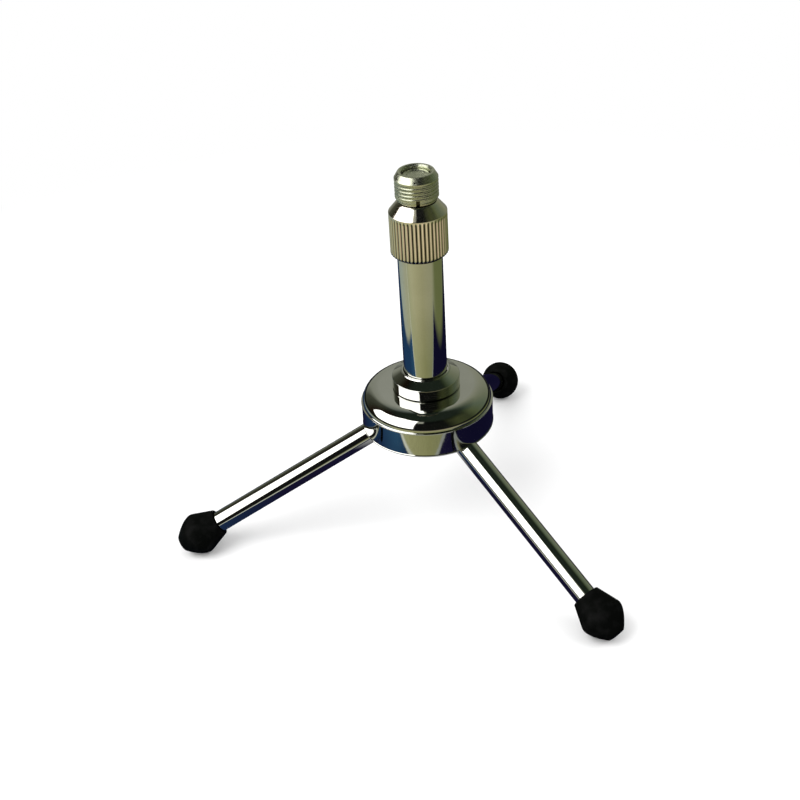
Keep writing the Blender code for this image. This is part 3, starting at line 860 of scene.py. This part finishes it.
def room_color(graph):
    u, v, z = camera_side_axes(graph, graph.add("ShaderNodeTexCoord").outputs["Generated"])
    azimuth = azimuth_of(graph, u, v)
    elevation = graph.product(graph.math("ARCSINE", z), DEGREES)
    # On the right the bright side of the room leans back, so it starts further round higher up.
    lean = graph.product(graph.math("MAXIMUM", graph.math("SUBTRACT", elevation, LEAN_UP_FROM), 0.0), LEAN)
    lean = graph.product(lean, graph.band(azimuth, LEAN_AROUND_FROM, UNBOUNDED, 10))
    around = graph.color_ramp(graph.math("SUBTRACT", azimuth, lean), -180, 180, SKY_AROUND)
    color = graph.mix(1.0, around, graph.color_ramp(elevation, -10, 90, SKY_UP), "MULTIPLY")
    color = graph.mix(graph.band(elevation, ZENITH_FROM, UNBOUNDED, 8), color, ZENITH_COLOR)
    color = graph.mix(soft_box(graph, azimuth, elevation), color, BOX_COLOR)
    strip = graph.product(graph.band(azimuth, *STRIP_AROUND, 2.0), graph.band(elevation, *STRIP_UP, 3.0))
    color = graph.mix(strip, color, STRIP_COLOR)
    below = graph.product(graph.band(azimuth, *BELOW_AROUND, 10),
                          graph.band(elevation, -UNBOUNDED, BELOW_TOP, 1))
    return graph.mix(below, color, BELOW_COLOR)


def build_world():
    world = bpy.data.worlds.new("studio")
    bpy.context.scene.world = world
    world.use_nodes = True
    graph = Graph(world.node_tree)
    graph.tree.nodes.clear()
    mirrored = graph.add("ShaderNodeBackground")
    graph.link(room_color(graph), mirrored.inputs["Color"])
    soft = graph.add("ShaderNodeBackground", Color=SOFT_COLOR)
    seen = graph.add("ShaderNodeBackground", Color=WHITE)
    path = graph.add("ShaderNodeLightPath")
    lit = graph.either(path.outputs["Is Glossy Ray"], soft.outputs[0], mirrored.outputs[0])
    surface = graph.either(path.outputs["Is Camera Ray"], lit, seen.outputs[0])
    graph.link(surface, graph.add("ShaderNodeOutputWorld").inputs["Surface"])


# ---------------------------------------------------------------- floor

FLOOR_AROUND = (                # azimuth, colour of the mirrored table at that side
    (-180, (0.40, 0.41, 0.38)),
    (-140, (0.33, 0.39, 0.34)),
    (-115, (0.40, 0.46, 0.39)),
    (-90, (0.44, 0.46, 0.33)),
    (-60, (0.45, 0.46, 0.26)),
    (-30, (0.37, 0.37, 0.18)),
    (0, (0.27, 0.275, 0.12)),
    (35, (0.23, 0.245, 0.13)),
    (55, (0.20, 0.225, 0.12)),
    (72, (0.13, 0.155, 0.055)),
    (112, (0.12, 0.145, 0.05)),
    (142, (0.14, 0.165, 0.09)),
    (180, (0.40, 0.41, 0.38)),
)
# Windows on the floor and on the rays, each from where it starts to where it is full.
FAR_TABLE = (0.30, 1.2)
FRONT_REACH, FRONT_U = (0.13, 0.19), (0.08, 0.13)
LIT_NEAR, LIT_FAR = (0.232, 0.242), (0.305, 0.292)
LIT_LEFT, LIT_RIGHT = (-28, -8), (55, 25)
DARK_REACH = (0.28, 0.60)
FLAT_RAYS = (0.31, 0.19)
LOW_RAYS = (0.072, 0.062)
LEG_RAYS = (0.047, 0.043)
STEEP_RAYS = (0.60, 0.66)
HUB_RAYS_FROM, HUB_RAYS_TO = (0.040, 0.044), (0.075, 0.068)
CLOTH_MIDDLE_V, CLOTH_RIGHT_V = (-0.11, -0.05), (0.02, 0.09)
CORNER_V, CORNER_U = (-0.04, -0.08), (0.01, 0.06)
CLOTH_FRONT = (-0.001, 0.001)
CLOTH_LEFT_END, CLOTH_RIGHT_END, CLOTH_BACK = (-0.143, -0.153), (0.138, 0.160), (-0.20, -0.26)
HEM_WIDTH, HEM_END = (0.0055, 0.003), (0.17, 0.14)
HEM_SHADE_V = (-0.06, 0.03)
PALE_FLOOR_REACH = (0.16, 0.40)
EDGE_SLOPE = 0.13                       # the cloth's front edge against the camera's right
EDGE_LEFT, EDGE_RIGHT, EDGE_BEND = 0.0815, 0.089, 0.03
LEG_HEM_EXTRA = 0.030

MOTTLE_COLOR = (0.18, 0.18, 0.085, 1)
FAR_TABLE_COLOR = (0.17, 0.175, 0.15, 1)
FRONT_COLOR = (0.62, 0.57, 0.38, 1)
LIT_COLOR = (0.78, 0.62, 0.46, 1)
LOW_RAY_SHADE_COLOR = (0.006, 0.007, 0.006, 1)
# Mirrored cloth colours: painted light on the left and in the front corner, painted shade in the middle,
# under the stand, and on the right.
CLOTH_LEFT_LIT = (0.014, 0.045, 0.11, 1)
CLOTH_MIDDLE_SHADED = (0.009, 0.0075, 0.030, 1)
CLOTH_RIGHT_SHADED = (0.005, 0.0045, 0.021, 1)
CLOTH_CORNER_LIT = (0.024, 0.075, 0.145, 1)
HEM_LEFT = (0.60, 0.62, 0.52, 1)
HEM_RIGHT = (0.26, 0.28, 0.26, 1)
REFLECTOR_COLOR = (0.38, 0.39, 0.39, 1)

# Where a mirrored ray meets the floor: u towards the camera, v to its right, its azimuth and its
# reach from the post; how steep the ray is and how high above the floor it started; legs is 1 for
# rays that come from the legs, which are lower than the hub.
FloorHit = namedtuple("FloorHit", "u v azimuth reach steepness height legs")


def table_color(graph, hit):
    """Olive table, lighter in front, darkened by painted shade far off and for flat rays, where the rays
    start low.
    """
    color = graph.color_ramp(hit.azimuth, -180, 180, FLOOR_AROUND)
    geometry = graph.add("ShaderNodeNewGeometry")
    mottle = graph.ramp(graph.noise(MOTTLE_SCALE, 6.0, geometry.outputs["Position"]), 0.3, 0.7, 0.0, 0.45)
    color = graph.mix(mottle, color, MOTTLE_COLOR)
    color = graph.mix(graph.ramp(hit.reach, *FAR_TABLE), color, FAR_TABLE_COLOR)
    front = graph.product(graph.ramp(hit.reach, *FRONT_REACH, 0.0, 0.28), graph.ramp(hit.u, *FRONT_U))
    color = graph.mix(front, color, FRONT_COLOR)
    # A lit part further off, which only the knurl mirrors.
    lit = graph.product(graph.ramp(hit.reach, *LIT_NEAR, 0.0, 0.8), graph.ramp(hit.reach, *LIT_FAR),
                        graph.ramp(hit.azimuth, *LIT_LEFT), graph.ramp(hit.azimuth, *LIT_RIGHT))
    color = graph.mix(lit, color, LIT_COLOR)
    # Painted shade: rays that start low see the table dark far off and when they run flat.
    dark = graph.math("MAXIMUM", graph.ramp(hit.reach, *DARK_REACH), graph.ramp(hit.steepness, *FLAT_RAYS))
    dark = graph.product(dark, graph.ramp(hit.height, *LOW_RAYS))
    return graph.mix(dark, color, LOW_RAY_SHADE_COLOR)


def cloth_color(graph, hit):
    """Navy cloth, darker to the right, with a lighter corner in front on the left: painted light on the
    left and in that corner, painted shade in the middle and to the right.
    """
    color = graph.mix(graph.ramp(hit.v, *CLOTH_MIDDLE_V), CLOTH_LEFT_LIT, CLOTH_MIDDLE_SHADED)
    color = graph.mix(graph.ramp(hit.v, *CLOTH_RIGHT_V), color, CLOTH_RIGHT_SHADED)
    corner = graph.product(graph.ramp(hit.v, *CORNER_V), graph.ramp(hit.u, *CORNER_U),
                           graph.math("SUBTRACT", 1.0, hit.legs))
    return graph.mix(corner, color, CLOTH_CORNER_LIT)


def mirrored_floor(graph, hit):
    """What the metal mirrors: the cloth with a slanted front edge and a pale hem, on the table."""
    bend = graph.ramp(hit.v, 0.0, EDGE_BEND, EDGE_LEFT, EDGE_RIGHT)
    edge = graph.math("ADD", graph.product(hit.v, EDGE_SLOPE), bend)
    past_edge = graph.math("SUBTRACT", hit.u, edge)
    in_front = graph.ramp(past_edge, *CLOTH_FRONT)
    beside = graph.math("MAXIMUM", graph.ramp(hit.v, *CLOTH_LEFT_END), graph.ramp(hit.v, *CLOTH_RIGHT_END))
    behind = graph.ramp(hit.u, *CLOTH_BACK)
    outside = graph.math("MAXIMUM", graph.math("MAXIMUM", in_front, beside), behind)
    color = graph.mix(outside, cloth_color(graph, hit), table_color(graph, hit))
    # The hem looks wider from the legs.
    past_hem = graph.math("SUBTRACT", past_edge, graph.product(hit.legs, LEG_HEM_EXTRA))
    hem = graph.product(in_front, graph.ramp(past_hem, *HEM_WIDTH), graph.ramp(hit.v, *HEM_END))
    color = graph.mix(hem, color, graph.mix(graph.ramp(hit.v, *HEM_SHADE_V), HEM_LEFT, HEM_RIGHT))
    # A reflector for steep rays from the hub's height, so that its underside can be read from below.
    steep = graph.product(graph.ramp(hit.steepness, *STEEP_RAYS), graph.ramp(hit.height, *HUB_RAYS_FROM),
                          graph.ramp(hit.height, *HUB_RAYS_TO))
    return graph.mix(steep, color, REFLECTOR_COLOR)


def floor_material():
    """Plain and pale to the camera, fading to white further off, and clear from below."""
    graph = Finish("pale_floor", Base_Color=(0.93, 0.93, 0.93, 1), Roughness=0.9, Specular_IOR_Level=0.1)
    geometry = graph.add("ShaderNodeNewGeometry")
    path = graph.add("ShaderNodeLightPath")
    u, v, _ = camera_side_axes(graph, geometry.outputs["Position"])
    reach = graph.math("SQRT", graph.math("ADD", graph.product(u, u), graph.product(v, v)))
    steepness = graph.axes(geometry.outputs["Incoming"])[2]
    height = graph.product(path.outputs["Ray Length"], steepness)
    legs = graph.ramp(height, *LEG_RAYS)
    hit = FloorHit(u, v, azimuth_of(graph, u, v), reach, steepness, height, legs)

    glow = graph.add("ShaderNodeEmission")
    graph.link(mirrored_floor(graph, hit), glow.inputs["Color"])
    white = graph.add("ShaderNodeEmission", Color=WHITE)
    clear = graph.add("ShaderNodeBsdfTransparent")
    distance = graph.product(graph.ramp(reach, *PALE_FLOOR_REACH), path.outputs["Is Camera Ray"])
    seen = graph.either(distance, graph.shader.outputs[0], white.outputs[0])
    above = graph.either(path.outputs["Is Glossy Ray"], seen, glow.outputs[0])
    surface = graph.either(geometry.outputs["Backfacing"], above, clear.outputs[0])
    graph.link(surface, graph.tree.nodes["Material Output"].inputs["Surface"])
    return graph.material


def drop_floor_with_legs(floor):
    """The floor stays under the feet when the legs fold down past it."""
    height = floor.driver_add("location", 2).driver
    terms = [f"{FLOOR_Z:.6f}"]
    for leg in LEGS:
        marker = bpy.data.objects.new(f"foot_marker_{leg}", None)
        bpy.context.scene.collection.objects.link(marker)
        marker.location = leg_matrix(leg) @ Vector((FOOT_CENTRE, 0, 0))
        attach(marker, f"leg_{leg}")
        variable = height.variables.new()
        variable.name = leg
        variable.type = "TRANSFORMS"
        target = variable.targets[0]
        target.id = marker
        target.transform_type = "LOC_Z"
        target.transform_space = "WORLD_SPACE"
        terms.append(f"{leg} - {FOOT_RADIUS:.6f}")
    height.expression = f"min({', '.join(terms)})"


def build_floor():
    bm = bmesh.new()
    bmesh.ops.create_circle(bm, cap_ends=True, segments=96, radius=3.0)
    floor = mesh_object("floor", bm)
    floor.location = (0, 0, FLOOR_Z)
    floor.data.materials.append(floor_material())
    drop_floor_with_legs(floor)


# ---------------------------------------------------------------- the whole

def build_stand():
    build_hub()
    build_collar()
    build_tube()
    build_nut()
    build_inner_tube()
    build_stud()
    build_adapter()
    for leg in LEGS:
        build_rod(leg)
        build_foot(leg)
    finish_cad_nodes()


def build_studio():
    bpy.context.scene.view_settings.view_transform = "Standard"
    build_world()
    build_floor()
    add_light("key", azimuth=-55, elevation=50, distance=1.2, size=0.9, power=9)
    add_light("fill", azimuth=70, elevation=45, distance=1.4, size=0.9, power=5)
    build_camera()


build_stand()
build_studio()
